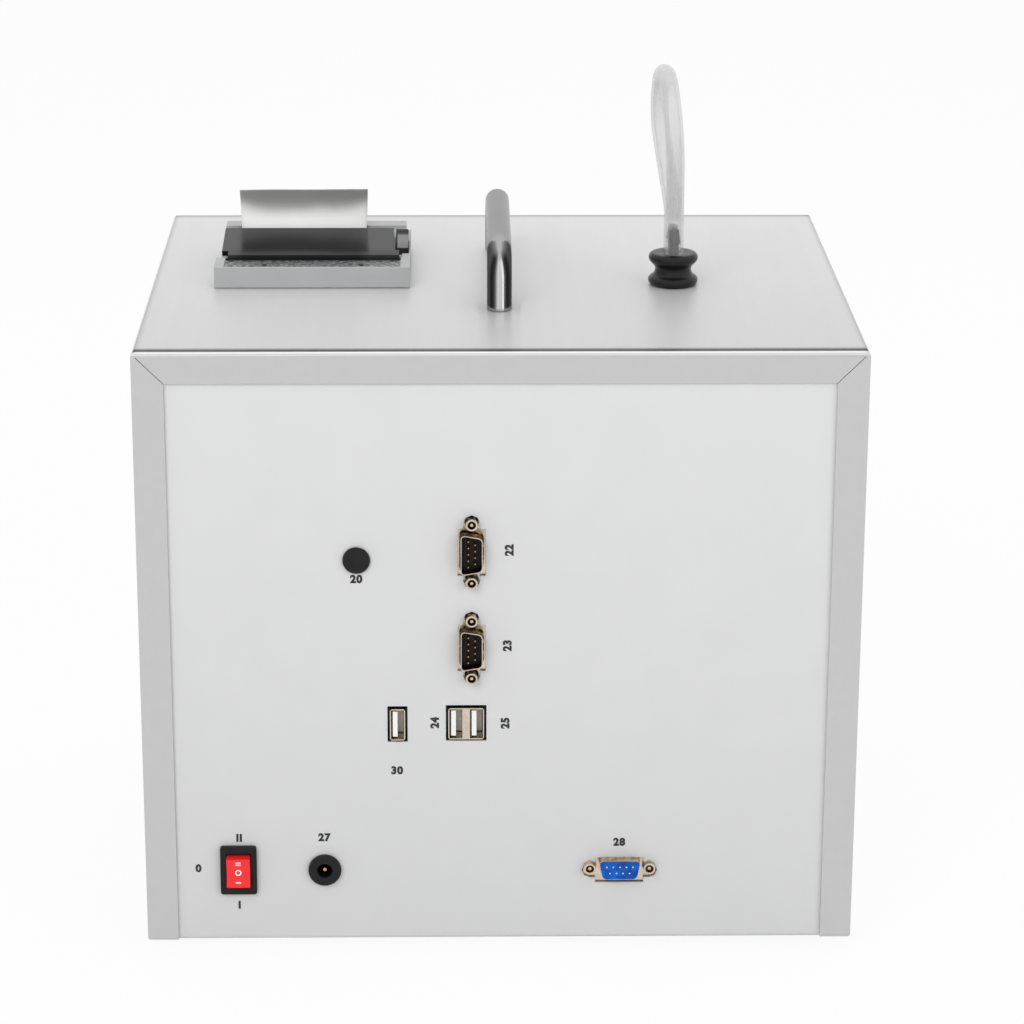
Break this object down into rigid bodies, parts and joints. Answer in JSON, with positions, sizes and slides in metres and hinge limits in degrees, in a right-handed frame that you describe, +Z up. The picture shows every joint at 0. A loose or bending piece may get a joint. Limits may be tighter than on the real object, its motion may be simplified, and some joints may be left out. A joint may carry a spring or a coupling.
{
  "type": "milk analyzer",
  "caption": "Box-shaped bench milk analyzer with sheet-metal case, deck printer, carrying handle, tube loop, rear connectors and a front suction tube.",
  "frame": {"origin": "middle of the bounding box on the standing surface, under the feet", "axes": "+Z up, -Y towards the connector side, +X to the right of a viewer who faces the connector side"},
  "size_m": [0.304, 0.2864, 0.361],
  "materials": {
    "enamel": "fine satin paint",
    "polished_steel": "polished",
    "zinc": "plated",
    "nickel": "nickel plated",
    "brass": "plated",
    "rubber": "matt",
    "silicone": "translucent",
    "black_plastic": "satin",
    "dark_plastic": "satin",
    "gloss_black": "glossy",
    "grey_plastic": "satin",
    "white_plastic": "satin",
    "red_plastic": "glossy",
    "blue_plastic": "satin",
    "board": "satin",
    "paper": "matt",
    "window": "clear"
  },
  "bodies": {
    "case": {"cover_shell": "enamel", "base_tray": "enamel", "foot_1": "rubber", "foot_2": "rubber", "foot_3": "rubber", "foot_4": "rubber", "side_screw_left_1": "zinc", "side_screw_right_1": "zinc", "side_screw_left_2": "zinc", "side_screw_right_2": "zinc", "handle_bar": "polished_steel", "handle_bolt_1": "zinc", "handle_bolt_2": "zinc", "tube_bung": "rubber", "hose_nipple_1": "dark_plastic", "hose_nipple_2": "dark_plastic", "loop_tube": "silicone", "printer_body": "grey_plastic", "print_head": "zinc", "tear_bar": "polished_steel", "paper_strip": "paper", "display_port_shell": "nickel", "display_port_insulator": "black_plastic", "keyboard_port_shell": "nickel", "keyboard_port_insulator": "black_plastic", "serial_port_shell": "nickel", "serial_port_insulator": "blue_plastic", "usb_single_shell": "nickel", "usb_single_tongue": "white_plastic", "usb_dual_shell": "nickel", "usb_dual_tongue": "white_plastic", "switch_body": "black_plastic", "jack_body": "black_plastic", "jack_pin": "brass", "jack_nut": "zinc", "aerial_cap": "black_plastic", "io_board": "board", "main_board": "board", "battery": "black_plastic", "battery_strap": "zinc", "pump_head": "grey_plastic", "pump_motor": "zinc", "pump_tube": "silicone", "sensor_block": "gloss_black", "outlet_hose": "silicone", "intake_hose": "silicone", "suction_tube": "polished_steel", "suction_boss": "black_plastic", "display_window": "window", "display_module": "board", "keypad": "grey_plastic"},
    "lid": {"printer_lid": "gloss_black"},
    "platen": {"platen_roller": "rubber"},
    "roll": {"paper_roll": "paper"},
    "lever": {"release_lever": "black_plastic"},
    "rocker": {"switch_rocker": "red_plastic"},
    "rotor": {"pump_rotor": "white_plastic"},
    "roller_1": {"pump_roller_1": "white_plastic"},
    "roller_2": {"pump_roller_2": "white_plastic"},
    "roller_3": {"pump_roller_3": "white_plastic"}
  },
  "joints": [
    {"name": "lid_hinge", "type": "hinge", "parent": "case", "child": "lid", "pos_m": [-0.0802, -0.0133, 0.2723], "axis": [1, 0, 0], "range_deg": [0, 80]},
    {"name": "platen_spin", "type": "hinge", "parent": "lid", "child": "platen", "pos_m": [-0.0802, 0.0167, 0.2715], "axis": [1, 0, 0], "continuous": true},
    {"name": "roll_spin", "type": "hinge", "parent": "case", "child": "roll", "pos_m": [-0.0802, 0.0032, 0.2498], "axis": [1, 0, 0], "continuous": true},
    {"name": "lever_pivot", "type": "hinge", "parent": "case", "child": "lever", "pos_m": [-0.0422, -0.0038, 0.2696], "axis": [1, 0, 0], "range_deg": [0, 20]},
    {"name": "switch_throw", "type": "hinge", "parent": "case", "child": "rocker", "pos_m": [-0.1108, -0.1378, 0.0378], "axis": [1, 0, 0], "range_deg": [-10, 10]},
    {"name": "pump_spin", "type": "hinge", "parent": "case", "child": "rotor", "pos_m": [0.0988, -0.0316, 0.1], "axis": [0, 1, 0], "continuous": true},
    {"name": "roller_1_spin", "type": "hinge", "parent": "rotor", "child": "roller_1", "pos_m": [0.11092, -0.0316, 0.107], "axis": [0, 1, 0], "continuous": true},
    {"name": "roller_2_spin", "type": "hinge", "parent": "rotor", "child": "roller_2", "pos_m": [0.08668, -0.0316, 0.107], "axis": [0, 1, 0], "continuous": true},
    {"name": "roller_3_spin", "type": "hinge", "parent": "rotor", "child": "roller_3", "pos_m": [0.0988, -0.0316, 0.086], "axis": [0, 1, 0], "continuous": true}
  ],
  "couplings": [
    {"joint": "roller_1_spin", "follows": "pump_spin", "ratio": -3.8},
    {"joint": "roller_2_spin", "follows": "pump_spin", "ratio": -3.8},
    {"joint": "roller_3_spin", "follows": "pump_spin", "ratio": -3.8}
  ]
}
